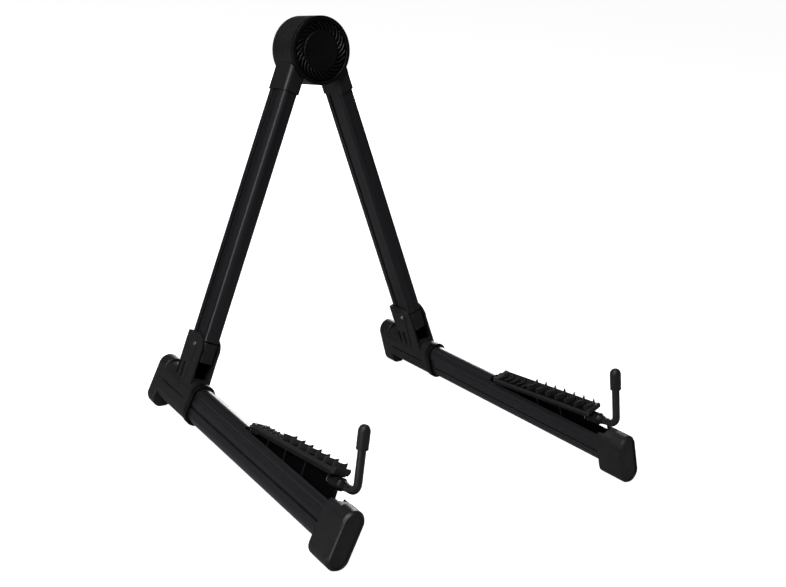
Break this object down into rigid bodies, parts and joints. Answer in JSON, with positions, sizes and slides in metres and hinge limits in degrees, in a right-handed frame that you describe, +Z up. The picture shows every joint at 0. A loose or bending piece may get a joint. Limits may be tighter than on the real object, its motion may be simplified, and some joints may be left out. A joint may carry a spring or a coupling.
{
  "type": "guitar stand",
  "caption": "Folding A-frame floor stand: leaning hinged legs, sloping feet with finned rubber cradles and wire hooks that keep an instrument's body from sliding off.",
  "frame": {"origin": "on the floor under the middle of the stand's bounding box, feet unfolded and legs open", "axes": "+Z up, -Y the front where the hooks stand, +X to the stand's left-right axis with the front-cup leg on +X"},
  "size_m": [0.2852, 0.2935, 0.3115],
  "materials": {
    "leg_tube": "black anodised satin",
    "foot_tube": "black anodised satin",
    "housing": "fine moulded texture",
    "cap": "fine moulded texture",
    "button": "smooth moulded",
    "bracket": "fine moulded texture",
    "cradle": "smooth moulded",
    "pad": "soft matt rubber",
    "hook": "black coated wire",
    "sleeve": "soft matt rubber",
    "pin": "bright turned",
    "spring": "drawn wire",
    "screw": "blackened",
    "lock": "stamped"
  },
  "bodies": {
    "left_leg": {"left_upright_tube": "leg_tube", "left_knee_plug": "bracket", "left_head_housing": "housing", "head_rear_cover": "housing", "head_cover_screws": "screw", "head_axle": "pin", "head_axle_clip": "pin", "head_opening_spring": "spring", "left_knee_spring": "spring"},
    "right_leg": {"right_upright_tube": "leg_tube", "right_knee_plug": "bracket", "right_head_housing": "housing", "head_bezel": "housing", "head_button_spring": "spring", "right_knee_spring": "spring"},
    "head_push_button": {"head_button": "button", "head_lock_ring": "lock"},
    "left_foot": {"left_foot_bracket": "bracket", "left_foot_collar": "bracket", "left_foot_tube": "foot_tube", "left_front_cap": "cap", "left_rear_cap": "cap", "left_knee_pin": "pin", "left_cradle_anchor": "cradle", "left_cradle": "cradle", "left_cradle_pin": "pin", "left_rubber_pad": "pad", "left_hook_bush": "cradle"},
    "left_knee_push_button": {"left_knee_button": "button"},
    "left_hook": {"left_hook_wire": "hook", "left_hook_sleeve": "sleeve", "left_hook_clip": "pin"},
    "right_foot": {"right_foot_bracket": "bracket", "right_foot_collar": "bracket", "right_foot_tube": "foot_tube", "right_front_cap": "cap", "right_rear_cap": "cap", "right_knee_pin": "pin", "right_cradle_anchor": "cradle", "right_cradle": "cradle", "right_cradle_pin": "pin", "right_rubber_pad": "pad", "right_hook_bush": "cradle"},
    "right_knee_push_button": {"right_knee_button": "button"},
    "right_hook": {"right_hook_wire": "hook", "right_hook_sleeve": "sleeve", "right_hook_clip": "pin"}
  },
  "joints": [
    {"name": "head_hinge", "type": "hinge", "parent": "left_leg", "child": "right_leg", "pos_m": [0, 0.12783, 0.28283], "axis": [0, 0.9902, -0.1396], "range_deg": [0, 42], "deforming": ["head_opening_spring"]},
    {"name": "head_button_slide", "type": "slide", "parent": "right_leg", "child": "head_push_button", "axis": [0, 0.9902, -0.1396], "range_m": [0, 0.0024], "stiffness_N_per_m": 1200, "springref_m": -0.001, "deforming": ["head_button_spring"]},
    {"name": "left_foot_fold", "type": "hinge", "parent": "left_leg", "child": "left_foot", "pos_m": [-0.10107, 0.0954, 0.05998], "axis": [-0.9323, 0.0505, 0.3581], "range_deg": [0, 87]},
    {"name": "left_knee_button_slide", "type": "slide", "parent": "left_leg", "child": "left_knee_push_button", "axis": [0, 0.9902, -0.1396], "range_m": [0, 0.0015], "stiffness_N_per_m": 800, "springref_m": -0.0008, "deforming": ["left_knee_spring"]},
    {"name": "left_hook_swivel", "type": "hinge", "parent": "left_foot", "child": "left_hook", "pos_m": [-0.11849, -0.1301, 0.04644], "axis": [-0.0101, -0.9935, 0.1138], "range_deg": [0, 70]},
    {"name": "right_foot_fold", "type": "hinge", "parent": "right_leg", "child": "right_foot", "pos_m": [0.10107, 0.0954, 0.05998], "axis": [-0.9323, -0.0505, -0.3581], "range_deg": [0, 87]},
    {"name": "right_knee_button_slide", "type": "slide", "parent": "right_leg", "child": "right_knee_push_button", "axis": [0, 0.9902, -0.1396], "range_m": [0, 0.0015], "stiffness_N_per_m": 800, "springref_m": -0.0008, "deforming": ["right_knee_spring"]},
    {"name": "right_hook_swivel", "type": "hinge", "parent": "right_foot", "child": "right_hook", "pos_m": [0.11849, -0.1301, 0.04644], "axis": [-0.0101, 0.9935, -0.1138], "range_deg": [0, 70]}
  ]
}
